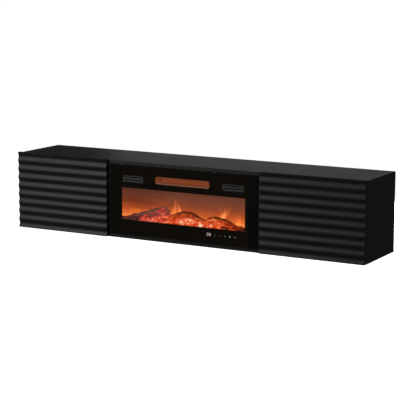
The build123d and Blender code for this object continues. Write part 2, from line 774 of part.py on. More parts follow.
def flame_spindle():
    """Turning rod with mirror fins that throw moving light on the screen."""
    rod_end = SPINDLE_X + SPINDLE_END
    shapes = [rod_x(SPINDLE_R, (-rod_end, rod_end), SPINDLE_Y, SPINDLE_Z)]
    for index in range(FIN_COUNT):
        middle = (index - (FIN_COUNT - 1) / 2) * (FIN_L + FIN_GAP)
        with BuildPart() as fin:
            with BuildSketch(Plane.YZ.offset(middle - FIN_L / 2)):
                with Locations(Location((SPINDLE_Y, SPINDLE_Z), FIN_TURN * index)):
                    Rectangle(FIN_W, FIN_T)
            extrude(amount=FIN_L)
        shapes.append(fin.part)
    return joined(shapes)


def spindle_motor():
    body = rod_x(MOTOR_R, (-CASE_IN_X, -SPINDLE_X - MOTOR_GAP), SPINDLE_Y, SPINDLE_Z)
    bore_x = (-SPINDLE_X - BORE_END, -SPINDLE_X - BORE_START)
    bore = rod_x(SPINDLE_R + RUNNING, bore_x, SPINDLE_Y, SPINDLE_Z)
    return cut(body, [bore])


def spindle_bearing():
    y = (SPINDLE_Y - BEARING_HALF, SPINDLE_Y + BEARING_HALF)
    z = (SPINDLE_Z - BEARING_HALF, SPINDLE_Z + BEARING_HALF)
    block = slab((SPINDLE_X + MOTOR_GAP, CASE_IN_X), y, z)
    bore_x = (SPINDLE_X + BORE_START, SPINDLE_X + BORE_END)
    bore = rod_x(SPINDLE_R + RUNNING, bore_x, SPINDLE_Y, SPINDLE_Z)
    return cut(block, [bore])


STRIP_LIGHT_T = 1.6
LED_PITCH = 30.0
LED_COUNT = 25
LED_W = 5.0
LED_T = 1.4
STRIP_LIGHT_W = 12.0
FLAME_LIGHT = (SPINDLE_Y, CASE_IN_Z[0] + 14.0)   # under the spindle
EMBER_LIGHT = (Y_FACE + 50.0, FLOOR_Z - 20.0)    # under the ember bed


def led_strip(y, z):
    """Circuit strip with a row of LEDs, facing up."""
    strip_y = (y - STRIP_LIGHT_W / 2, y + STRIP_LIGHT_W / 2)
    led_z = (z, z + STRIP_LIGHT_T + LED_T)
    shapes = [slab((-BED_X, BED_X), strip_y, (z, z + STRIP_LIGHT_T))]
    for index in range(LED_COUNT):
        x = (index - (LED_COUNT - 1) / 2) * LED_PITCH
        shapes.append(slab((x - LED_W / 2, x + LED_W / 2), (y - LED_W / 2, y + LED_W / 2), led_z))
    return joined(shapes)


# ---- Fireplace insert: heater and blower ----
WHEEL_Y, WHEEL_Z = Y_FACE + 92.0, 338.0
WHEEL_R = 22.0
WHEEL_L = 300.0
SHAFT_R = 3.0
BLADE_COUNT = 20
BLADE_DEPTH = 6.0
BLADE_T = 0.9
BLADE_TILT = 35.0
DISC_T = 2.0
RIM = 0.4                 # blade's tip inside the end discs' rim
SHAFT_BEARING, SHAFT_MOTOR = 20.0, 30.0
BLOWER_MOTOR_R = 24.0
BLOWER_MOTOR_X = (WHEEL_L / 2 + 14.0, WHEEL_L / 2 + 54.0)
BLOWER_FOOT_HALF = 16.0
BLOWER_BEARING_X = (-WHEEL_L / 2 - 24.0, -WHEEL_L / 2 - 12.0)
SHAFT_PLAY = 2.0


def fan_wheel():
    """Cross-flow wheel: end discs, slanted blades and two shaft ends."""
    half = WHEEL_L / 2
    with BuildPart() as wheel:
        with BuildSketch(Plane.YZ.offset(-half)):
            with Locations((WHEEL_Y, WHEEL_Z)):
                with PolarLocations(WHEEL_R - BLADE_DEPTH / 2 - RIM, BLADE_COUNT):
                    Rectangle(BLADE_DEPTH, BLADE_T, rotation=BLADE_TILT)
        extrude(amount=WHEEL_L)
        for x in (-half, -DISC_T / 2, half - DISC_T):
            add(rod_x(WHEEL_R, (x, x + DISC_T), WHEEL_Y, WHEEL_Z))
        for x in ((-half - SHAFT_BEARING, -half), (half, half + SHAFT_MOTOR)):
            add(rod_x(SHAFT_R, x, WHEEL_Y, WHEEL_Z))
    return wheel.part


def blower_motor():
    body = rod_x(BLOWER_MOTOR_R, BLOWER_MOTOR_X, WHEEL_Y, WHEEL_Z)
    foot_y = (WHEEL_Y - BLOWER_FOOT_HALF, WHEEL_Y + BLOWER_FOOT_HALF)
    foot = slab(BLOWER_MOTOR_X, foot_y, (TRAY_Z + SHEET, WHEEL_Z))
    bore_x = (BLOWER_MOTOR_X[0] - OVERCUT, WHEEL_L / 2 + SHAFT_MOTOR + SHAFT_PLAY)
    bore = rod_x(SHAFT_R + RUNNING, bore_x, WHEEL_Y, WHEEL_Z)
    return cut(joined([body, foot]), [bore])


def blower_bearing():
    y = (WHEEL_Y - BEARING_HALF, WHEEL_Y + BEARING_HALF)
    block = slab(BLOWER_BEARING_X, y, (TRAY_Z + SHEET, WHEEL_Z + BEARING_HALF))
    bore_x = (-WHEEL_L / 2 - SHAFT_BEARING - SHAFT_PLAY, BLOWER_BEARING_X[1] + OVERCUT)
    bore = rod_x(SHAFT_R + RUNNING, bore_x, WHEEL_Y, WHEEL_Z)
    return cut(block, [bore])


SCROLL_R = 27.0
SCROLL_END = 4.0          # housing past each end of the wheel
DUCT_FRONT = Y_FACE + 6.0
DUCT_DROP = 8.0           # lower sheet's fall towards the outlet


def blower_housing():
    """Curved sheet round the back of the wheel that leads the air forward to the outlet."""
    half = WHEEL_L / 2 + SCROLL_END
    low, high = WHEEL_Z - SCROLL_R, WHEEL_Z + SCROLL_R
    with BuildPart() as shell:
        with BuildSketch(Plane.YZ.offset(-half)):
            with BuildLine() as outline:
                Line((DUCT_FRONT, high), (WHEEL_Y, high))
                ThreePointArc((WHEEL_Y, high), (WHEEL_Y + SCROLL_R, WHEEL_Z), (WHEEL_Y, low))
                Line((WHEEL_Y, low), (DUCT_FRONT, low - DUCT_DROP))
            trace(outline.line, line_width=SHEET)
        extrude(amount=2 * half)
    return shell.part


HEATER_X = 140.0
HEATER_Y = (Y_FACE + 26.0, Y_FACE + 42.0)
HEATER_Z = (312.0, 354.0)
HEATER_RAIL = 3.0
HEATER_FINS = 28
HEATER_FIN_T = 2.0


def heater_element():
    """Ceramic heating core: two rails and a row of fins across the duct."""
    low, high = HEATER_Z
    pitch = 2 * HEATER_X / HEATER_FINS
    shapes = [slab((-HEATER_X, HEATER_X), HEATER_Y, (low, low + HEATER_RAIL)),
              slab((-HEATER_X, HEATER_X), HEATER_Y, (high - HEATER_RAIL, high))]
    for index in range(HEATER_FINS):
        x = -HEATER_X + (index + 0.5) * pitch
        shapes.append(slab((x - HEATER_FIN_T / 2, x + HEATER_FIN_T / 2), HEATER_Y, HEATER_Z))
    return joined(shapes)


# ---- Fireplace insert: electronics ----
PRINT_BACK = FRAME_FRONT + GLASS_T + PRINT_T
BOARD_Y = (PRINT_BACK + 6.0, PRINT_BACK + 7.6)
BOARD_Z = (46.0, 88.0)
BOARD_ENDS = (10.0, 16.0)  # board past the display, and past the last key
CONTACT_GAP = 0.2
DISPLAY_FIT = 0.5
PAD_R = TOUCH_R - 1.0


def display_module():
    x = (DISPLAY_X[0] + DISPLAY_FIT, DISPLAY_X[1] - DISPLAY_FIT)
    z = (DISPLAY_Z[0] + DISPLAY_FIT, DISPLAY_Z[1] - DISPLAY_FIT)
    return slab(x, (PRINT_BACK + CONTACT_GAP, BOARD_Y[0]), z)


def touch_pads():
    """Sprung contact pads of the five touch keys, between the glass and the circuit."""
    y = (PRINT_BACK + CONTACT_GAP, BOARD_Y[0])
    return joined([rod_y(PAD_R, x, y, TOUCH_Z) for x in touch_spots()])


def control_board():
    x = (DISPLAY_X[0] - BOARD_ENDS[0], touch_spots()[-1] + BOARD_ENDS[1])
    return slab(x, BOARD_Y, BOARD_Z)


# ---- Write every piece ----
save(top_board(), "top_board")
save(bottom_board(), "bottom_board")
save(rail(RAIL_UPPER_Z), "rear_rail_upper")
save(rail(RAIL_LOWER_Z), "rear_rail_lower")
save(shelf_pins(), "shelf_pins")
save(joined(divider_screws(SCREW_L - SCREW_TIP_GAP)), "assembly_screws")
save(angle_brackets(), "angle_brackets")
save(cable_grommets(), "cable_grommets")
save(board_hinge_leaves(), "board_hinge_leaves")
save(hinge_pins(), "hinge_pins")
save(magnet_catches(), "magnet_catches")
save(door_bumpers(), "door_bumpers")

for make, group in ((stay_plate, "stay_plates"), (divider, "dividers"), (back_panel, "back_panels"),
                    (shelf, "shelves"), (vent_grille, "vent_grilles"), (casing_side, "casing_sides")):
    save(joined([make(side) for side in SIDES.values()]), group)

for word, sign in SIDES.items():
    save(end_panel(sign), f"end_panel_{word}")
    save(door(sign), f"door_{word}")
    save(door_hinge_leaf(sign), f"door_hinge_leaf_{word}")
    save(strike_plate(sign), f"strike_plate_{word}")
    save(stay_bracket(sign), f"stay_bracket_{word}")
    save(stay_arm(sign), f"stay_arm_{word}")

save(front_frame(), "front_frame")
save(front_glass(), "front_glass")
save(glass_mask(), "glass_mask")
save(outlet_grille(), "outlet_grille")
save(slab((-CASING_X, CASING_X), CASE_Y, (CASE_IN_Z[1], CASING_HIGH)), "casing_top")
save(slab((-CASING_X, CASING_X), CASE_Y, (CASING_LOW, CASE_IN_Z[0])), "casing_bottom")
save(casing_back(), "casing_back")
save(joined(insert_screws()), "insert_screws")
save(slab(INNER, (CASE_Y[0], CASE_BACK_Y[0]), (TRAY_Z, TRAY_Z + SHEET)), "heater_tray")
save(slab(INNER, (CASE_Y[0], Y_FACE + SCREEN_Y), (FLOOR_Z, FLOOR_Z + SHEET)), "firebox_floor")
save(slab(INNER, (Y_FACE + SCREEN_Y, Y_FACE + SCREEN_Y + SCREEN_T), (FLOOR_Z, TRAY_Z)), "flame_screen")
save(ember_bed(), "ember_bed")
save(log((-372.0, -136.0), (98.0, 157.0), (60.0, 50.0)), "log_left")
save(log((-92.0, 92.0), (147.0, 128.0), (66.0, 44.0)), "log_middle")
save(log((112.0, 318.0), (138.0, 92.0), (58.0, 50.0)), "log_right")
save(flame_spindle(), "flame_spindle")
save(spindle_motor(), "spindle_motor")
save(spindle_bearing(), "spindle_bearing")
save(joined([led_strip(*FLAME_LIGHT), led_strip(*EMBER_LIGHT)]), "led_strips")
save(fan_wheel(), "fan_wheel")
save(blower_motor(), "blower_motor")
save(blower_bearing(), "blower_bearing")
save(blower_housing(), "blower_housing")
save(heater_element(), "heater_element")
save(display_module(), "display_module")
save(touch_pads(), "touch_pads")
save(control_board(), "control_board")
save(power_inlet(), "power_inlet")
save(switch_housing(), "switch_housing")
save(power_rocker(), "power_rocker")
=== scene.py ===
import json
import math
import random

import bmesh
import bpy
from mathutils import Euler, Matrix, Vector, noise


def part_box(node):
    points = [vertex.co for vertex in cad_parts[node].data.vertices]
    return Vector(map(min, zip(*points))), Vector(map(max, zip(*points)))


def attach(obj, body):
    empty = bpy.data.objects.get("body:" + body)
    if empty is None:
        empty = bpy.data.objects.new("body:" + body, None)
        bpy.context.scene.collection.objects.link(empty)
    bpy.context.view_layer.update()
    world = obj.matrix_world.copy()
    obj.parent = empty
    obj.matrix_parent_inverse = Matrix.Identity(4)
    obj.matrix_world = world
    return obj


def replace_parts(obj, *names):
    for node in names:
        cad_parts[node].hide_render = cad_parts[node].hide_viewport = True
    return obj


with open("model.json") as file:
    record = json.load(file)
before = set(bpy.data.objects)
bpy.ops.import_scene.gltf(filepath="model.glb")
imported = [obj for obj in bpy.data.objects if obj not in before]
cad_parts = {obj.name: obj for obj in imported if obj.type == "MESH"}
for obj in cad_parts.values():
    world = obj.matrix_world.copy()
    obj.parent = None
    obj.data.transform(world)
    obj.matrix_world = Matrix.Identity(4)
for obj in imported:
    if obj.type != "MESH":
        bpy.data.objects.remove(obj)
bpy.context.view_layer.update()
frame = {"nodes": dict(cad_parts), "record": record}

# Looks of the wall-hung fireplace console. Metres, in the frame's own axes: front is -Y.

NODES = frame["nodes"]
MM = 0.001


# ---- Camera ----
CAMERA_AT = Vector((3.630, -6.508, 1.472))
CAMERA_YAW = math.radians(29.098)      # turned to the left
CAMERA_DOWN = math.radians(9.637)
CAMERA_ROLL = math.radians(0.129)
CAMERA_LENS = 130.35                   # mm, as the sensor's width is
SENSOR_WIDTH = 36.0
FARTHEST = 500.0                       # past the floor's far edge


def make_camera():
    data = bpy.data.cameras.new("camera")
    data.lens = CAMERA_LENS
    data.sensor_width = SENSOR_WIDTH
    data.clip_end = FARTHEST
    camera = bpy.data.objects.new("camera", data)
    bpy.context.scene.collection.objects.link(camera)
    aim = Euler((math.pi / 2 - CAMERA_DOWN, 0.0, CAMERA_YAW)).to_matrix()
    turn = aim @ Matrix.Rotation(CAMERA_ROLL, 3, "Z")
    camera.matrix_world = Matrix.Translation(CAMERA_AT) @ turn.to_4x4()
    bpy.context.scene.camera = camera


# ---- Studio ----
# Soft white lamps: place, what they point at, width and height, watts
LAMPS = {
    "key": ((-3.3, -4.2, 2.7), (-0.3, 0.0, 0.2), (2.6, 2.6), 62.0),
    "fill": ((-3.0, -4.2, 0.7), (0.0, 0.0, 0.2), (2.8, 1.5), 14.0),
    "overhead": ((0.6, -0.4, 3.2), (0.2, 0.0, 0.3), (3.4, 1.6), 4.0),
    "rear": ((-0.4, 4.8, -0.1), (0.0, 0.2, 0.2), (2.2, 0.7), 130.0),
    "right": ((3.0, 0.2, 3.0), (1.0, 0.0, 0.3), (1.0, 1.0), 1.6),
    "rear_card": ((-0.90, 3.4, 1.25), (0.0, 0.0, 0.4), (3.2, 1.1), 2.9),
}
WORLD_DIM = 0.044                      # what the object sees of the room around it
FLOOR_DROP = 0.55                      # a usual height under a hung console
FLOOR_HALF = 150.0
FLOOR_GLOW = 0.97


def area_light(name, at, aim, size, power):
    """Soft rectangular lamp that the camera doesn't see."""
    data = bpy.data.lights.new(name, "AREA")
    data.shape = "RECTANGLE"
    data.size, data.size_y = size
    data.energy = power
    lamp = bpy.data.objects.new(name, data)
    bpy.context.scene.collection.objects.link(lamp)
    lamp.location = at
    lamp.rotation_euler = (Vector(aim) - Vector(at)).to_track_quat("-Z", "Y").to_euler()
    lamp.visible_camera = False


def make_world():
    """White behind the object for the camera, and a dim room for everything else."""
    world = bpy.data.worlds.new("world")
    bpy.context.scene.world = world
    world.use_nodes = True
    nodes, links = world.node_tree.nodes, world.node_tree.links
    nodes.clear()
    dim = nodes.new("ShaderNodeBackground")
    dim.inputs["Color"].default_value = (1.0, 1.0, 1.0, 1.0)
    dim.inputs["Strength"].default_value = WORLD_DIM
    white = nodes.new("ShaderNodeBackground")
    white.inputs["Color"].default_value = (1.0, 1.0, 1.0, 1.0)
    path = nodes.new("ShaderNodeLightPath")
    mix = nodes.new("ShaderNodeMixShader")
    out = nodes.new("ShaderNodeOutputWorld")
    links.new(path.outputs["Is Camera Ray"], mix.inputs["Fac"])
    links.new(dim.outputs["Background"], mix.inputs[1])
    links.new(white.outputs["Background"], mix.inputs[2])
    links.new(mix.outputs["Shader"], out.inputs["Surface"])


def make_floor():
    """White floor that only the camera sees, so it casts and takes no light."""
    mesh = bpy.data.meshes.new("floor")
    turns = ((-1, -1), (1, -1), (1, 1), (-1, 1))
    corners = [(x * FLOOR_HALF, y * FLOOR_HALF, -FLOOR_DROP) for x, y in turns]
    mesh.from_pydata(corners, [], [(0, 1, 2, 3)])
    floor = bpy.data.objects.new("floor", mesh)
    bpy.context.scene.collection.objects.link(floor)
    pale = bpy.data.materials.new("pale_floor")
    pale.use_nodes = True
    shader = pale.node_tree.nodes["Principled BSDF"]
    shader.inputs["Base Color"].default_value = (0.85, 0.85, 0.85, 1.0)
    shader.inputs["Roughness"].default_value = 0.9
    shader.inputs["Emission Color"].default_value = (1.0, 1.0, 1.0, 1.0)
    shader.inputs["Emission Strength"].default_value = FLOOR_GLOW
    mesh.materials.append(pale)
    floor.visible_diffuse = False
    floor.visible_glossy = False
    floor.visible_transmission = False
    floor.visible_shadow = False


def make_studio():
    bpy.context.scene.view_settings.view_transform = "Standard"
    make_world()
    for name, setting in LAMPS.items():
        area_light(name, *setting)
    make_floor()


# ---- Node helpers ----
class Nodes:
    """A material's node tree with short calls for what the looks below need."""

    def __init__(self, name):
        self.material = bpy.data.materials.new(name)
        self.material.use_nodes = True
        self.tree = self.material.node_tree
        self.shader = self.tree.nodes["Principled BSDF"]
        self.place = self.add("ShaderNodeTexCoord").outputs["Object"]

    def add(self, kind, **settings):
        node = self.tree.nodes.new(kind)
        for key, value in settings.items():
            setattr(node, key, value)
        return node

    def link(self, source, target):
        self.tree.links.new(source, target)

    def set(self, **values):
        """Plain values on the shader's own sockets."""
        for key, value in values.items():
            self.shader.inputs[key.replace("_", " ")].default_value = value

    def math(self, operation, first, second=0.0, clamp=False):
        node = self.add("ShaderNodeMath", operation=operation, use_clamp=clamp)
        for socket, value in zip(node.inputs, (first, second)):
            if isinstance(value, (int, float)):
                socket.default_value = value
            else:
                self.link(value, socket)
        return node.outputs["Value"]

    def axes(self):
        node = self.add("ShaderNodeSeparateXYZ")
        self.link(self.place, node.inputs["Vector"])
        return node.outputs["X"], node.outputs["Y"], node.outputs["Z"]

    def stretched(self, scale):
        node = self.add("ShaderNodeMapping")
        node.inputs["Scale"].default_value = scale
        self.link(self.place, node.inputs["Vector"])
        return node.outputs["Vector"]

    def noise(self, scale, detail=4.0, roughness=0.55, stretch=(1, 1, 1), distortion=0.0):
        node = self.add("ShaderNodeTexNoise")
        node.inputs["Scale"].default_value = scale
        node.inputs["Detail"].default_value = detail
        node.inputs["Roughness"].default_value = roughness
        node.inputs["Distortion"].default_value = distortion
        self.link(self.stretched(stretch), node.inputs["Vector"])
        return node.outputs["Fac"]

    def cells(self, scale, feature="F1", stretch=(1, 1, 1)):
        node = self.add("ShaderNodeTexVoronoi", feature=feature)
        node.inputs["Scale"].default_value = scale
        self.link(self.stretched(stretch), node.inputs["Vector"])
        return node.outputs["Distance"]

    def spread(self, value, low, high, to_low, to_high):
        """value from low..high mapped onto to_low..to_high, and held there."""
        node = self.add("ShaderNodeMapRange")
        ends = (("From Min", low), ("From Max", high), ("To Min", to_low), ("To Max", to_high))
        for key, number in ends:
            node.inputs[key].default_value = number
        self.link(value, node.inputs["Value"])
        return node.outputs["Result"]

    def ramp(self, value, stops):
        node = self.add("ShaderNodeValToRGB")
        ends = node.color_ramp.elements
        while len(ends) < len(stops):
            ends.new(0.5)
        for end, (at, colour) in zip(ends, stops):
            end.position = at
            end.color = (*colour, 1.0)
        self.link(value, node.inputs["Fac"])
        return node.outputs["Color"]

    def blend(self, factor, first, second, mode="MIX"):
        node = self.add("ShaderNodeMix", data_type="RGBA", blend_type=mode)
        sockets = [s for s in node.inputs if s.type == "RGBA"]
        if isinstance(factor, (int, float)):
            node.inputs[0].default_value = factor
        else:
            self.link(factor, node.inputs[0])
        for socket, value in zip(sockets, (first, second)):
            if isinstance(value, tuple):
                socket.default_value = (*value, 1.0)
            else:
                self.link(value, socket)
        return [s for s in node.outputs if s.type == "RGBA"][0]

    def bump(self, height, strength, distance):
        node = self.add("ShaderNodeBump")
        node.inputs["Strength"].default_value = strength
        node.inputs["Distance"].default_value = distance
        self.link(height, node.inputs["Height"])
        self.link(node.outputs["Normal"], self.shader.inputs["Normal"])

    def colour(self, socket):
        self.link(socket, self.shader.inputs["Base Color"])

    def roughness(self, socket):
        self.link(socket, self.shader.inputs["Roughness"])

    def glow(self, socket, strength):
        self.link(socket, self.shader.inputs["Emission Color"])
        self.set(Emission_Strength=strength)


def tinted(colour, factor):
    return tuple(channel * factor for channel in colour)


def finish(name, colour, rough, grain, depth, metallic=0.0, stretch=(1, 1, 1), vary=0.18,
           specular=0.5):
    """Even coat with fine texture: colour and roughness drift, and a shallow grain stands up."""
    look = Nodes(name)
    broad = look.noise(6.0, 3.0, stretch=stretch)
    fine = look.noise(grain, 5.0, 0.6, stretch)
    mixed = look.math("ADD", look.math("MULTIPLY", broad, 0.5), look.math("MULTIPLY", fine, 0.5))
    look.colour(look.ramp(mixed, [(0.3, tinted(colour, 1 - vary)), (0.7, tinted(colour, 1 + vary))]))
    look.roughness(look.spread(mixed, 0.3, 0.7, rough - 0.05, rough + 0.05))
    look.bump(fine, 0.35, depth)
    look.set(Metallic=metallic, Specular_IOR_Level=specular)
    return look.material


# ---- Materials ----
def lacquer(name, colour, rough):
    """Sprayed satin lacquer on board: faint orange peel and a little uneven sheen."""
    look = Nodes(name)
    peel = look.noise(260.0, 2.0, 0.5)
    cloud = look.noise(5.0, 4.0, 0.6)
    dust = look.noise(1500.0, 2.0, 0.5)
    look.colour(look.ramp(cloud, [(0.3, tinted(colour, 0.85)), (0.7, tinted(colour, 1.15))]))
    look.roughness(look.spread(look.math("ADD", cloud, look.math("MULTIPLY", dust, 0.4)),
                               0.4, 1.0, rough - 0.04, rough + 0.05))
    look.bump(peel, 0.12, 0.0004)
    return look.material


def clear_glass():
    """Clean pane with faint smears."""
    look = Nodes("clear_glass")
    smear = look.noise(9.0, 5.0, 0.6, (1, 1, 2.5))
    look.roughness(look.spread(smear, 0.35, 0.75, 0.015, 0.05))
    look.set(Base_Color=(0.93, 0.95, 0.95, 1.0), Transmission_Weight=1.0, IOR=1.45)
    return look.material


def black_print():
    """Black print behind the glass, with a faint warm painted glow in place of the lamp light that the
    glass keeps from it.
    """
    look = Nodes("black_print")
    tooth = look.noise(900.0, 2.0)
    look.colour(look.ramp(tooth, [(0.3, (0.030, 0.021, 0.011)), (0.7, (0.040, 0.028, 0.016))]))
    look.roughness(look.spread(tooth, 0.3, 0.7, 0.5, 0.7))
    # painted light: a faint warm glow stands in for the lamp light that the glass in front keeps from
    # the print
    painted_light_tones = [(0.3, (0.0030, 0.0021, 0.0010)), (0.7, (0.0038, 0.0027, 0.0014))]
    look.glow(look.ramp(tooth, painted_light_tones), 1.0)
    return look.material


# Light on the flame screen from its foot up, as glow colours
SCREEN_FOOT = 0.10
SCREEN_HEAD = 0.25
SCREEN_TONES = [
    (0.00, (0.92, 0.25, 0.050)),
    (0.20, (0.76, 0.150, 0.027)),
    (0.30, (0.63, 0.110, 0.019)),
    (0.40, (0.49, 0.080, 0.016)),
    (0.50, (0.345, 0.062, 0.016)),
    (0.62, (0.262, 0.052, 0.018)),
    (0.75, (0.210, 0.051, 0.022)),
    (1.00, (0.140, 0.041, 0.021)),
]
FOOT_FADE = 0.012                      # a flame comes up over this much each side of its foot
# Flames thrown on the screen: foot x, tip x, foot z, tip z, half width, strength
FLAMES = [
    (-0.096, -0.090, 0.130, 0.228, 0.024, 0.66),
    (-0.062, -0.077, 0.130, 0.206, 0.020, 0.95),
    (-0.122, -0.112, 0.130, 0.176, 0.026, 0.28),
    (0.180, 0.204, 0.124, 0.206, 0.024, 0.80),
    (0.194, 0.238, 0.140, 0.216, 0.022, 0.50),
    (0.172, 0.172, 0.136, 0.226, 0.016, 0.20),
    (0.276, 0.281, 0.080, 0.164, 0.032, 0.80),
    (0.310, 0.300, 0.080, 0.138, 0.034, 0.60),
    (-0.430, -0.400, 0.050, 0.140, 0.120, 0.60),
    (-0.345, -0.330, 0.070, 0.160, 0.090, 0.45),
]


def flame_mask(look, x, z, flame):
    """One flame: a tongue that narrows to its tip, leans with height and fades out."""
    foot_x, tip_x, foot_z, tip_z, half, strength = flame
    height = look.spread(z, foot_z, tip_z, 0.0, 1.0)
    line = look.spread(z, foot_z, tip_z, foot_x, tip_x)
    off = look.math("ABSOLUTE", look.math("SUBTRACT", x, line))
    width = look.spread(height, 0.0, 1.0, half, half * 0.25)
    near = look.math("SUBTRACT", 1.0, look.math("DIVIDE", off, width), clamp=True)
    body = look.math("MULTIPLY", near, look.math("SUBTRACT", 1.6, look.math("MULTIPLY", near, 0.6)))
    fade = look.math("MULTIPLY", look.spread(height, 0.25, 1.0, 1.0, 0.0), body)
    foot = look.spread(z, foot_z - FOOT_FADE, foot_z + FOOT_FADE, 0.0, strength)
    return look.math("MULTIPLY", fade, foot)


def centred(look, value, reach):
    """A noise moved to swing about zero, by half of reach each way."""
    return look.math("MULTIPLY", look.math("SUBTRACT", value, 0.5), reach)


def fireback(look, x, z):
    """Faint brick wall, as a tint."""
    brick = look.add("ShaderNodeTexBrick")
    turn = look.add("ShaderNodeCombineXYZ")
    look.link(x, turn.inputs["X"])
    look.link(z, turn.inputs["Y"])
    look.link(turn.outputs["Vector"], brick.inputs["Vector"])
    for key, value in (("Scale", 1.0), ("Brick Width", 0.085), ("Row Height", 0.030),
                       ("Mortar Size", 0.0022), ("Mortar Smooth", 0.6)):
        brick.inputs[key].default_value = value
    brick.inputs["Color1"].default_value = (1.0, 1.0, 1.0, 1.0)
    brick.inputs["Color2"].default_value = (0.74, 0.66, 0.66, 1.0)
    brick.inputs["Mortar"].default_value = (0.48, 0.34, 0.30, 1.0)
    return brick.outputs["Color"]


def flame_screen():
    """Translucent screen: a glow that fades upward, flames, and a brick fireback at the left."""
    look = Nodes("flame_screen_glow")
    x, _, z = look.axes()
    waver = look.noise(16.0, 3.0, 0.5, (1, 1, 0.35), 0.6)
    x = look.math("ADD", x, centred(look, waver, 0.022))
    drift = centred(look, look.noise(7.0, 3.0, 0.55, (1, 1, 0.3)), 0.035)
    level = look.spread(look.math("ADD", z, drift), SCREEN_FOOT, SCREEN_HEAD, 0.0, 1.0)
    glow = look.ramp(level, SCREEN_TONES)
    share = look.spread(x, -0.25, -0.02, 0.85, 0.08)
    glow = look.blend(share, glow, look.blend(1.0, glow, fireback(look, x, z), "MULTIPLY"))
    masks = [flame_mask(look, x, z, flame) for flame in FLAMES]
    total = masks[0]
    for mask in masks[1:]:
        total = look.math("ADD", total, mask)
    total = look.math("MINIMUM", total, 1.2)
    fire = look.ramp(total, [(0.0, (0.0, 0.0, 0.0)), (0.35, (0.26, 0.055, 0.008)),
                             (0.75, (0.58, 0.20, 0.050)), (1.0, (0.78, 0.38, 0.13))])
    look.glow(look.blend(1.0, glow, fire, "ADD"), 1.0)
    look.set(Base_Color=(0.02, 0.012, 0.01, 1.0), Roughness=0.55)
    return look.material


# Hottest places of the ember bed: x, z, reach along x, gain
HOT_SPOTS = [
    (0.106, 0.108, 0.022, 0.42),
    (0.163, 0.110, 0.016, 0.34),
    (0.211, 0.107, 0.014, 0.30),
    (0.238, 0.101, 0.010, 0.26),
    (0.030, 0.124, 0.040, 0.26),
    (-0.020, 0.112, 0.026, 0.24),
    (-0.090, 0.106, 0.030, 0.16),
    (-0.170, 0.110, 0.030, 0.14),
]


SPOT_RISE = 0.009                      # reach of a hot spot up and down


def hot_spot(look, x, z, spot):
    """Extra heat of one hot spot: most in its middle, none past its reach."""
    spot_x, spot_z, reach, gain = spot
    across = look.math("POWER", look.math("DIVIDE", look.math("SUBTRACT", x, spot_x), reach), 2.0)
    up = look.math("POWER", look.math("DIVIDE", look.math("SUBTRACT", z, spot_z), SPOT_RISE), 2.0)
    near = look.math("SUBTRACT", 1.0, look.math("ADD", across, up), clamp=True)
    return look.math("MULTIPLY", near, gain)


def ember_glow():
    """Ember bed: dark ash, red glow and near-white hot spots, hotter to the right of the middle."""
    look = Nodes("ember_glow")
    x, _, z = look.axes()
    lumps = look.cells(75.0)
    clouds = look.noise(14.0, 4.0, 0.6, (1, 1, 1), 0.4)
    fine = look.noise(120.0, 4.0, 0.65)
    heat = look.math("ADD", look.math("MULTIPLY", clouds, 0.75), look.math("MULTIPLY", fine, 0.35))
    heat = look.math("SUBTRACT", heat, look.math("MULTIPLY", lumps, 0.34))
    vein = look.math("SUBTRACT", look.noise(24.0, 3.0, 0.5, (0.6, 1, 1), 0.5), 0.5)
    vein = look.math("MULTIPLY", look.math("ABSOLUTE", vein), 15.0)
    vein = look.math("SUBTRACT", 1.0, vein, clamp=True)
    heat = look.math("ADD", heat, look.math("MULTIPLY", vein, 0.19))
    rise = look.spread(x, -0.37, -0.20, -0.32, 0.0)
    peak = look.spread(look.math("ABSOLUTE", look.math("SUBTRACT", x, 0.06)), 0.0, 0.20, 0.10, 0.0)
    fall = look.spread(x, 0.20, 0.33, 0.0, -0.27)
    heat = look.math("ADD", look.math("ADD", heat, peak), look.math("ADD", rise, fall))
    for spot in HOT_SPOTS:
        heat = look.math("ADD", heat, hot_spot(look, x, z, spot))
    warm = look.ramp(heat, [(0.18, (0.030, 0.006, 0.001)), (0.30, (0.30, 0.020, 0.002)),
                            (0.42, (0.66, 0.052, 0.006)), (0.54, (0.88, 0.115, 0.022)),
                            (0.68, (1.0, 0.25, 0.12)), (0.82, (1.0, 0.68, 0.46))])
    pink = look.ramp(heat, [(0.18, (0.035, 0.014, 0.011)), (0.30, (0.20, 0.030, 0.018)),
                            (0.42, (0.50, 0.040, 0.022)), (0.56, (0.80, 0.085, 0.052)),
                            (0.72, (1.0, 0.25, 0.17)), (0.85, (1.0, 0.62, 0.47))])
    look.glow(look.blend(look.spread(x, -0.24, -0.06, 0.0, 1.0), pink, warm), 1.0)
    look.colour(look.ramp(heat, [(0.25, (0.02, 0.008, 0.004)), (0.6, (0.12, 0.02, 0.006))]))
    look.roughness(look.spread(fine, 0.3, 0.7, 0.35, 0.7))
    look.bump(fine, 0.5, 0.002)
    return look.material


LOG_END_X = -0.147                     # the left log's glowing broken end


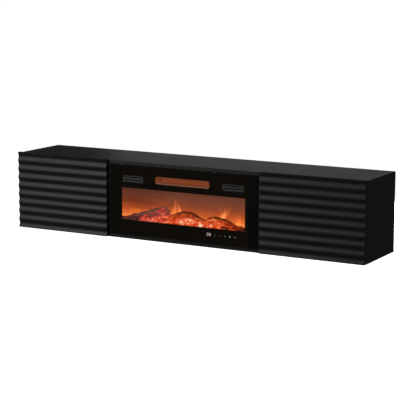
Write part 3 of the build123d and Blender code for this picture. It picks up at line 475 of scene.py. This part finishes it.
def charred_bark():
    """Moulded logs: dark bark on top, a red glow in the cracks and along the underside."""
    look = Nodes("charred_bark")
    cracks = look.cells(46.0, "DISTANCE_TO_EDGE", (0.45, 1, 1))
    cloud = look.noise(18.0, 4.0, 0.6, (0.5, 1, 1), 0.3)
    fibre = look.noise(90.0, 5.0, 0.65, (0.12, 1, 1))
    facing = look.add("ShaderNodeNewGeometry")
    parts = look.add("ShaderNodeSeparateXYZ")
    look.link(facing.outputs["Normal"], parts.inputs["Vector"])
    x = look.axes()[0]
    low = look.spread(parts.outputs["Z"], 0.45, 0.98, 1.0, 0.0)
    seam = look.spread(cracks, 0.0, 0.12, 1.0, 0.0)
    heat = look.math("ADD", look.math("MULTIPLY", seam, 0.28), look.math("MULTIPLY", cloud, 0.62))
    heat = look.math("MULTIPLY", look.math("ADD", heat, look.math("MULTIPLY", fibre, 0.24)), low)
    off = look.math("ABSOLUTE", look.math("SUBTRACT", x, LOG_END_X))
    broken = look.spread(off, 0.006, 0.030, 0.09, 0.0)
    heat = look.math("ADD", heat, look.math("MULTIPLY", broken, low))
    warm = look.ramp(heat, [(0.04, (0.085, 0.016, 0.003)), (0.26, (0.19, 0.022, 0.002)),
                            (0.46, (0.40, 0.036, 0.003)), (0.64, (0.74, 0.11, 0.018)),
                            (0.85, (1.0, 0.42, 0.16))])
    grey = look.ramp(heat, [(0.04, (0.060, 0.022, 0.013)), (0.24, (0.12, 0.062, 0.042)),
                            (0.44, (0.20, 0.042, 0.033)), (0.64, (0.50, 0.040, 0.028)),
                            (0.85, (1.0, 0.30, 0.17))])
    look.glow(look.blend(look.spread(x, -0.13, -0.08, 0.0, 1.0), grey, warm), 1.0)
    look.colour(look.ramp(fibre, [(0.3, (0.020, 0.009, 0.004)), (0.7, (0.060, 0.026, 0.012))]))
    look.roughness(look.spread(fibre, 0.3, 0.7, 0.65, 0.9))
    look.bump(look.math("ADD", fibre, look.math("MULTIPLY", cracks, 2.0)), 0.6, 0.002)
    return look.material


def lit_grille():
    """Outlet guard: dark metal lit orange by the heater behind it."""
    look = Nodes("lit_grille")
    z = look.axes()[2]
    grain = look.noise(300.0, 3.0)
    rise = look.spread(z, 0.300, 0.344, 0.0, 1.0)
    tone = look.ramp(rise, [(0.0, (0.22, 0.105, 0.062)), (0.25, (0.20, 0.050, 0.018)),
                            (0.60, (0.185, 0.036, 0.007)), (1.0, (0.14, 0.036, 0.012))])
    look.glow(look.blend(look.spread(grain, 0.3, 0.7, 0.0, 0.25), tone, (0.12, 0.03, 0.009)), 1.0)
    look.colour(look.ramp(grain, [(0.3, (0.03, 0.018, 0.012)), (0.7, (0.06, 0.035, 0.022))]))
    look.set(Metallic=0.4, Roughness=0.45)
    look.bump(grain, 0.3, 0.0003)
    return look.material


def hot_ceramic():
    """Heater fins, glowing dull orange."""
    look = Nodes("hot_ceramic")
    grain = look.noise(220.0, 4.0)
    look.glow(look.ramp(grain, [(0.3, (0.14, 0.024, 0.004)), (0.7, (0.22, 0.040, 0.008))]), 1.0)
    look.set(Base_Color=(0.25, 0.18, 0.14, 1.0), Roughness=0.7)
    look.bump(grain, 0.3, 0.0005)
    return look.material


def lit_sign(name, colour, strength):
    """Display segment or key sign: a light behind a diffuser, with a faint speckle."""
    look = Nodes(name)
    specks = look.noise(1200.0, 2.0)
    look.glow(look.ramp(specks, [(0.3, tinted(colour, 0.85)), (0.7, tinted(colour, 1.1))]), strength)
    look.set(Base_Color=(0.05, 0.05, 0.05, 1.0), Roughness=0.5)
    return look.material


def circuit_board():
    """Green board with lighter tracks."""
    look = Nodes("circuit_board")
    tracks = look.cells(260.0, "DISTANCE_TO_EDGE")
    look.colour(look.ramp(tracks, [(0.04, (0.10, 0.16, 0.05)), (0.10, (0.012, 0.060, 0.022))]))
    look.roughness(look.spread(tracks, 0.0, 0.3, 0.3, 0.5))
    look.bump(tracks, 0.3, 0.0003)
    return look.material


BLACK = (0.020, 0.020, 0.0215)


def make_materials():
    """One material for each of the record's slots."""
    return {
        "carcass": lacquer("carcass_lacquer", BLACK, 0.38),
        "door": lacquer("door_lacquer", BLACK, 0.46),
        "black_plastic": finish("black_plastic", (0.022, 0.022, 0.023), 0.5, 700.0, 0.0002),
        "bumper": finish("clear_bumper", (0.42, 0.42, 0.43), 0.35, 400.0, 0.0001),
        "steel": finish("zinc_steel", (0.56, 0.56, 0.58), 0.32, 500.0, 0.0001, 1.0, (0.08, 1, 1)),
        "frame_trim": finish("matte_trim", (0.0085, 0.0058, 0.0026), 0.8, 1100.0, 0.0002,
                             specular=0.18),
        "glass": clear_glass(),
        "print": black_print(),
        "grille": finish("satin_grille", (0.105, 0.100, 0.094), 0.5, 500.0, 0.0002),
        "outlet": lit_grille(),
        "casing": finish("enamelled_sheet", (0.020, 0.020, 0.020), 0.5, 350.0, 0.0002),
        "screen": flame_screen(),
        "embers": ember_glow(),
        "logs": charred_bark(),
        "mirror": finish("mirror_film", (0.80, 0.80, 0.82), 0.08, 120.0, 0.0001, 1.0, vary=0.05),
        "motor": finish("motor_can", (0.22, 0.22, 0.23), 0.4, 400.0, 0.0001, 0.9, (0.2, 1, 1)),
        "fan": finish("fan_alloy", (0.55, 0.55, 0.57), 0.35, 500.0, 0.0001, 1.0, (0.1, 1, 1)),
        "ceramic": hot_ceramic(),
        "circuit": circuit_board(),
        "display": finish("display_block", (0.004, 0.004, 0.004), 0.4, 800.0, 0.0001),
        "pads": finish("key_pads", (0.004, 0.004, 0.004), 0.6, 800.0, 0.0001),
    }


EDGE = {                               # edge rounding of the carried-over nodes, by slot
    "carcass": 0.5 * MM,
    "frame_trim": 0.6 * MM,
    "glass": 0.5 * MM,
    "black_plastic": 0.4 * MM,
    "motor": 0.8 * MM,
    "steel": 0.15 * MM,
    "grille": 0.3 * MM,
    "outlet": 0.3 * MM,
}


SHARP_ANGLE = math.radians(35)         # edges sharper than this are rounded
WELD_REACH = 0.005 * MM


def round_edges(obj, width, segments):
    """Rounded edges with even shading on the flats."""
    bevel = obj.modifiers.new("bevel", "BEVEL")
    bevel.width = width
    bevel.segments = segments
    bevel.limit_method = "ANGLE"
    bevel.angle_limit = SHARP_ANGLE
    bevel.use_clamp_overlap = True
    shade = obj.modifiers.new("shade", "WEIGHTED_NORMAL")
    shade.keep_sharp = True


def dress_nodes(materials):
    slots = {row["node"]: row["material_slot"] for row in frame["record"]["subparts"]}
    for name, node in NODES.items():
        slot = slots[name]
        node.data.materials.clear()
        node.data.materials.append(materials[slot])
        if slot in EDGE:
            weld = node.modifiers.new("weld", "WELD")
            weld.merge_threshold = WELD_REACH
            round_edges(node, EDGE[slot], segments=2)


# ---- Mesh helpers ----
def new_piece(name, verts, faces, material, body, smooth=True):
    mesh = bpy.data.meshes.new(name)
    mesh.from_pydata(verts, [], faces)
    mesh.validate()
    mesh.materials.append(material)
    for polygon in mesh.polygons:
        polygon.use_smooth = smooth
    piece = bpy.data.objects.new(name, mesh)
    bpy.context.scene.collection.objects.link(piece)
    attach(piece, body)
    return piece


def prism(outline, x):
    """Closed solid: an outline in (y, z) run between two x values."""
    count = len(outline)
    verts = [(end, y, z) for end in x for y, z in outline]
    faces = [tuple(range(count)), tuple(reversed(range(count, 2 * count)))]
    for index in range(count):
        after = (index + 1) % count
        faces.append((after, index, count + index, count + after))
    return verts, faces


# ---- Fluted doors ----
FLUTES = 9
FLUTE_DEPTH = 6.0 * MM
FLUTE_STEPS = 20                       # facets on one wave
POCKET_Y = 2.7 * MM                    # barrel rebate in the lower back edge, from the door's back
POCKET_Z = 4.0 * MM                    # and from its lower end
LEAF_REBATE = 1.0 * MM
LEAF_TOP = 23.3 * MM
DOOR_EDGE = 0.7 * MM


def wave(share):
    """Depth behind the crest at a share of one wave: two equal arcs that meet half way up."""
    quarter = 1.0 / 4
    lo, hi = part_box("door_left")
    period = (hi.z - lo.z) / FLUTES
    reach = period * quarter
    radius = (reach ** 2 + (FLUTE_DEPTH / 2) ** 2) / FLUTE_DEPTH
    from_crest = (share + 0.5) % 1.0 - 0.5
    if abs(from_crest) <= quarter:
        return radius - math.sqrt(radius ** 2 - (from_crest * period) ** 2)
    from_valley = (0.5 - abs(from_crest)) * period
    return FLUTE_DEPTH - radius + math.sqrt(radius ** 2 - from_valley ** 2)


def make_door(side, materials):
    node = f"door_{side}"
    lo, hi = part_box(node)
    outline = []
    steps = FLUTES * FLUTE_STEPS
    for index in range(steps + 1):
        z = lo.z + (hi.z - lo.z) * index / steps
        outline.append((lo.y + wave(index / FLUTE_STEPS), z))
    outline += [(hi.y, hi.z),
                (hi.y, lo.z + LEAF_TOP),
                (hi.y - LEAF_REBATE, lo.z + LEAF_TOP),
                (hi.y - LEAF_REBATE, lo.z + POCKET_Z),
                (hi.y - POCKET_Y, lo.z + POCKET_Z),
                (hi.y - POCKET_Y, lo.z)]
    verts, faces = prism(outline, (lo.x, hi.x))
    door = new_piece(f"fluted_{node}", verts, faces, materials["door"], node)
    round_edges(door, DOOR_EDGE, segments=3)
    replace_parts(door, node)


# ---- Fire bed ----
BED_GRID = (260, 34)
BED_EDGE, BED_MOUND = 0.34, 0.42       # shares of the bed's box: height at its rim, and the mound on it
BED_ROUGH = 0.22
LUMP_COUNT = 900
LUMP_SIZE = (0.0030, 0.0085)
LUMP_ROUGH = 0.22
ENDS_X = (-0.34, 0.25)                 # lumps are smaller past these


def bed_height(x, y, lo, hi):
    """Surface of the ember bed: a mound that falls away at both ends, with lumps."""
    across = (y - lo.y) / (hi.y - lo.y)
    mound = math.sin(math.pi * min(1.0, max(0.0, across))) ** 0.6
    broad = noise.noise(Vector((x * 38, y * 38, 1.3)))
    fine = noise.noise(Vector((x * 95, y * 95, 4.1)))
    ends = min(1.0, max(0.25, (x + 0.40) / 0.14), max(0.22, (0.36 - x) / 0.13))
    rise = (hi.z - lo.z) * (BED_EDGE + BED_MOUND * mound) * ends
    return lo.z + rise * (1.0 + BED_ROUGH * (broad * 0.5 + fine * 0.3))


def bed_surface(materials):
    """Closed solid with a flat underside and a lumpy top."""
    lo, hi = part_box("ember_bed")
    columns, rows = BED_GRID
    verts, faces = [], []
    for level in (0, 1):
        for j in range(rows + 1):
            for i in range(columns + 1):
                x = lo.x + (hi.x - lo.x) * i / columns
                y = lo.y + (hi.y - lo.y) * j / rows
                verts.append((x, y, bed_height(x, y, lo, hi) if level else lo.z))
    layer = (columns + 1) * (rows + 1)

    def at(i, j, level):
        return level * layer + j * (columns + 1) + i

    for j in range(rows):
        for i in range(columns):
            faces.append((at(i, j, 1), at(i + 1, j, 1), at(i + 1, j + 1, 1), at(i, j + 1, 1)))
            faces.append((at(i, j + 1, 0), at(i + 1, j + 1, 0), at(i + 1, j, 0), at(i, j, 0)))
    for i in range(columns):
        faces.append((at(i, 0, 0), at(i + 1, 0, 0), at(i + 1, 0, 1), at(i, 0, 1)))
        faces.append((at(i + 1, rows, 0), at(i, rows, 0), at(i, rows, 1), at(i + 1, rows, 1)))
    for j in range(rows):
        faces.append((at(0, j + 1, 0), at(0, j, 0), at(0, j, 1), at(0, j + 1, 1)))
        faces.append((at(columns, j, 0), at(columns, j + 1, 0), at(columns, j + 1, 1),
                      at(columns, j, 1)))
    bed = new_piece("ember_bed_surface", verts, faces, materials["embers"], "cabinet")
    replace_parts(bed, "ember_bed")


def ember_lumps(materials):
    """Loose coals over the bed: rough, squashed balls of many sizes."""
    lo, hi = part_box("ember_bed")
    draw = random.Random(11)
    shape = bmesh.new()
    for index in range(LUMP_COUNT):
        x = draw.uniform(lo.x + 0.012, hi.x - 0.012)
        y = draw.uniform(lo.y + 0.010, hi.y - 0.010)
        size = draw.uniform(*LUMP_SIZE) * (1.25 if index % 5 == 0 else 1.0)
        size *= 1.0 if ENDS_X[0] <= x <= ENDS_X[1] else 0.6
        centre = Vector((x, y, bed_height(x, y, lo, hi) + size * 0.25))
        turn = Euler([draw.uniform(0, 6.28) for _ in range(3)]).to_matrix()
        stretch = Vector((draw.uniform(0.8, 1.5), draw.uniform(0.7, 1.1), draw.uniform(0.55, 0.9)))
        made = bmesh.ops.create_icosphere(shape, subdivisions=2, radius=1.0)["verts"]
        for vert in made:
            rough = 1.0 + LUMP_ROUGH * noise.noise(vert.co * 1.7 + Vector((index * 3.1, 0, 0)))
            point = Vector([c * s * size * rough for c, s in zip(vert.co, stretch)])
            vert.co = centre + turn @ point
    mesh = bpy.data.meshes.new("ember_lumps")
    shape.to_mesh(mesh)
    shape.free()
    mesh.materials.append(materials["embers"])
    for polygon in mesh.polygons:
        polygon.use_smooth = True
    lumps = bpy.data.objects.new("ember_lumps", mesh)
    bpy.context.scene.collection.objects.link(lumps)
    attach(lumps, "cabinet")


LOG_RING = 40                          # points round a log, and steps along it
LOG_STEPS = 90
BARK, RIDGE = 0.20, 0.10               # how far the bark stands off, as shares of the radius
FRONT_ROW, BACK_ROW = 0.044, 0.064     # from the dividers' front edges


def eased(values, share):
    """Value at a share of the way along a list, easing from each one to the next."""
    place = share * (len(values) - 1)
    low = min(int(place), len(values) - 2)
    part = place - low
    part = part * part * (3 - 2 * part)
    return values[low] * (1 - part) + values[low + 1] * part


def make_log(name, spine, radii, seed, materials):
    """Gnarled log along a bent spine, with bark ridges, knots and broken ends."""
    points = [Vector(point) for point in spine]
    verts, faces = [], []
    for step in range(LOG_STEPS + 1):
        share = step / LOG_STEPS
        centre = eased(points, share)
        ahead = eased(points, min(1.0, share + 0.02)) - eased(points, max(0.0, share - 0.02))
        forward = ahead.normalized()
        side = forward.cross(Vector((0, 0, 1))).normalized()
        up = side.cross(forward)
        taper = min(1.0, 0.35 + 9 * min(share, 1 - share))
        for ring in range(LOG_RING):
            angle = 2 * math.pi * ring / LOG_RING
            cos, sin = math.cos(angle), math.sin(angle)
            bark = noise.noise(Vector((cos * 2.2, sin * 2.2, share * 5 + seed)))
            ridge = noise.noise(Vector((cos * 6.5, sin * 6.5, share * 9 + seed * 2)))
            radius = eased(radii, share) * taper * (1 + BARK * bark + RIDGE * ridge)
            out = side * cos + up * sin
            verts.append(centre + out * radius)
    for step in range(LOG_STEPS):
        for ring in range(LOG_RING):
            after = (ring + 1) % LOG_RING
            low, high = step * LOG_RING, (step + 1) * LOG_RING
            faces.append((low + ring, low + after, high + after, high + ring))
    faces.append(tuple(reversed(range(LOG_RING))))
    faces.append(tuple(range(LOG_STEPS * LOG_RING, (LOG_STEPS + 1) * LOG_RING)))
    return new_piece(f"{name}_bark", verts, faces, materials["logs"], "cabinet")


def fire_bed(materials):
    bed_surface(materials)
    ember_lumps(materials)
    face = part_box("dividers")[0].y
    front, back = face + FRONT_ROW, face + BACK_ROW
    logs = {
        "log_left": ([(-0.398, back, 0.084), (-0.330, back, 0.101), (-0.262, back, 0.121),
                      (-0.200, back, 0.139), (-0.146, back, 0.154), (-0.118, back, 0.140),
                      (-0.104, back, 0.122)],
                     [0.013, 0.017, 0.019, 0.020, 0.021, 0.017, 0.012]),
        "log_middle": ([(-0.100, back, 0.122), (-0.068, back, 0.132), (-0.024, back, 0.145),
                        (0.025, back, 0.140), (0.075, front, 0.127), (0.126, front, 0.112)],
                       [0.012, 0.016, 0.018, 0.018, 0.017, 0.012]),
        "log_right": ([(0.108, back, 0.120), (0.132, back, 0.130), (0.160, back, 0.134),
                       (0.200, back, 0.128), (0.242, back, 0.114), (0.285, back, 0.093),
                       (0.335, back, 0.090)],
                      [0.012, 0.015, 0.016, 0.017, 0.018, 0.015, 0.014]),
    }
    for seed, (name, (spine, radii)) in enumerate(logs.items()):
        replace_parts(make_log(name, spine, radii, seed * 7.3 + 1.0, materials), name)
    branches = {
        "branch_left": ([(-0.33, front, 0.104), (-0.25, front, 0.112),
                         (-0.16, front - 0.004, 0.116)],
                        [0.009, 0.011, 0.008]),
        "branch_right": ([(0.05, front - 0.006, 0.118), (0.13, front - 0.008, 0.112),
                          (0.22, front, 0.106)],
                         [0.010, 0.011, 0.008]),
    }
    for seed, (name, (spine, radii)) in enumerate(branches.items()):
        make_log(name, spine, radii, seed * 5.1 + 40.0, materials)


# ---- Display and key signs ----
SIGN_T = 0.12 * MM
SIGN_GAP = 0.02 * MM                   # from the display block and the key pads behind
DIGIT_W, DIGIT_H, DIGIT_T = 7.4 * MM, 12.0 * MM, 1.6 * MM
DIGIT_STARTS = (-12.2 * MM, 0.4 * MM)  # from the display's middle
KEY_COUNT = 5


def sign_mesh(name, shapes, y, material):
    """Flat lit shapes, each an outline in (x, z), as thin closed plates."""
    verts, faces = [], []
    for outline in shapes:
        base, count = len(verts), len(outline)
        verts += [(x, y, z) for x, z in outline]
        verts += [(x, y + SIGN_T, z) for x, z in outline]
        faces.append(tuple(range(base, base + count)))
        faces.append(tuple(reversed(range(base + count, base + 2 * count))))
        for index in range(count):
            after = (index + 1) % count
            faces.append((base + after, base + index, base + count + index, base + count + after))
    return new_piece(name, verts, faces, material, "cabinet", smooth=False)


def bar(x0, z0, x1, z1, width):
    """Pointed bar from one place to another."""
    start, end = Vector((x0, z0)), Vector((x1, z1))
    way = (end - start).normalized()
    side = Vector((-way.y, way.x)) * width / 2
    tip = way * width / 2
    points = [start, start + tip + side, end - tip + side, end, end - tip - side, start + tip - side]
    return [tuple(point) for point in points]


SEGMENTS = {"0": "abcdef", "8": "abcdefg"}


def digit(mark, x, z, width, height, thick):
    """Seven-segment digit with its lower left corner at (x, z)."""
    gap = thick * 0.15
    right, middle, top = x + width, z + height / 2, z + height
    places = {
        "a": (x + gap, top, right - gap, top), "b": (right, top - gap, right, middle + gap),
        "c": (right, middle - gap, right, z + gap), "d": (x + gap, z, right - gap, z),
        "e": (x, middle - gap, x, z + gap), "f": (x, top - gap, x, middle + gap),
        "g": (x + gap, middle, right - gap, middle),
    }
    return [bar(*places[key], thick) for key in SEGMENTS[mark]]


def ring_shapes(x, z, radius, thick, start=0.0, end=2 * math.pi, steps=28):
    """Ring, or part of one, as short joined plates."""
    shapes = []
    for index in range(steps):
        a = start + (end - start) * index / steps
        b = start + (end - start) * (index + 1) / steps
        inner, outer = radius - thick / 2, radius + thick / 2
        shapes.append([(x + r * math.cos(t), z + r * math.sin(t))
                       for r, t in ((inner, a), (outer, a), (outer, b), (inner, b))])
    return shapes


def disc(x, z, radius, steps=20):
    turns = [2 * math.pi * index / steps for index in range(steps)]
    return [(x + radius * math.cos(t), z + radius * math.sin(t)) for t in turns]


def drop(x, z, radius, steps=24):
    """Flame-shaped drop: round below, pointed above."""
    points = []
    for index in range(steps):
        turn = 2 * math.pi * index / steps
        lift = max(0.0, math.sin(turn)) ** 3
        wide = math.cos(turn) * (1 - 0.45 * lift)
        high = math.sin(turn) + 0.9 * lift
        points.append((x + radius * wide, z + radius * high))
    return points


def timer_sign(x, z):
    """Clock face with one hand."""
    return ring_shapes(x, z, 2.6 * MM, 0.9 * MM) + [bar(x, z, x, z + 2.0 * MM, 0.8 * MM)]


def level_sign(x, z):
    """Two bars, one over the other."""
    half, apart = 3.6 * MM, 1.4 * MM
    return [bar(x - half, z + lift, x + half, z + lift, 1.1 * MM) for lift in (-apart, apart)]


def light_sign(x, z):
    """Sun: a disc with eight rays."""
    shapes = [disc(x, z, 2.0 * MM)]
    for index in range(8):
        turn = index * math.pi / 4
        ends = [(x + r * math.cos(turn), z + r * math.sin(turn)) for r in (2.6 * MM, 4.8 * MM)]
        shapes.append(bar(*ends[0], *ends[1], 1.1 * MM))
    return shapes


def heat_sign(x, z):
    """Small flame."""
    return [drop(x, z - 0.8 * MM, 3.0 * MM)]


def power_sign(x, z):
    """Ring open at the top, with an upright bar in the gap."""
    ring = ring_shapes(x, z, 3.6 * MM, 1.4 * MM, math.radians(125), math.radians(415))
    return ring + [bar(x, z + 1.0 * MM, x, z + 4.8 * MM, 1.0 * MM)]


def make_signs():
    lo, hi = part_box("display_module")
    y = lo.y - SIGN_T - SIGN_GAP
    foot = (lo.z + hi.z - DIGIT_H) / 2
    middle = (lo.x + hi.x) / 2
    shapes = []
    for mark, start in zip("08", DIGIT_STARTS):
        shapes += digit(mark, middle + start, foot, DIGIT_W, DIGIT_H, DIGIT_T)
    sign_mesh("display_digits", shapes, y, lit_sign("lit_white", (1.0, 0.66, 0.58), 1.0))

    dim = lit_sign("lit_dim_green", (0.115, 0.145, 0.080), 1.0)
    green = lit_sign("lit_green", (0.85, 1.0, 0.72), 0.55)
    grey = lit_sign("lit_grey", (0.145, 0.155, 0.135), 1.0)
    keys = (("key_timer", timer_sign, dim), ("key_level", level_sign, dim),
            ("key_light", light_sign, dim), ("key_heat", heat_sign, green),
            ("key_power", power_sign, grey))
    lo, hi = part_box("touch_pads")
    radius = (hi.z - lo.z) / 2
    pitch = (hi.x - lo.x - 2 * radius) / (KEY_COUNT - 1)
    for index, (name, sign, material) in enumerate(keys):
        sign_mesh(name, sign(lo.x + radius + pitch * index, lo.z + radius), y, material)


make_camera()
make_studio()
MATERIALS = make_materials()
dress_nodes(MATERIALS)
for side in ("left", "right"):
    make_door(side, MATERIALS)
fire_bed(MATERIALS)
make_signs()
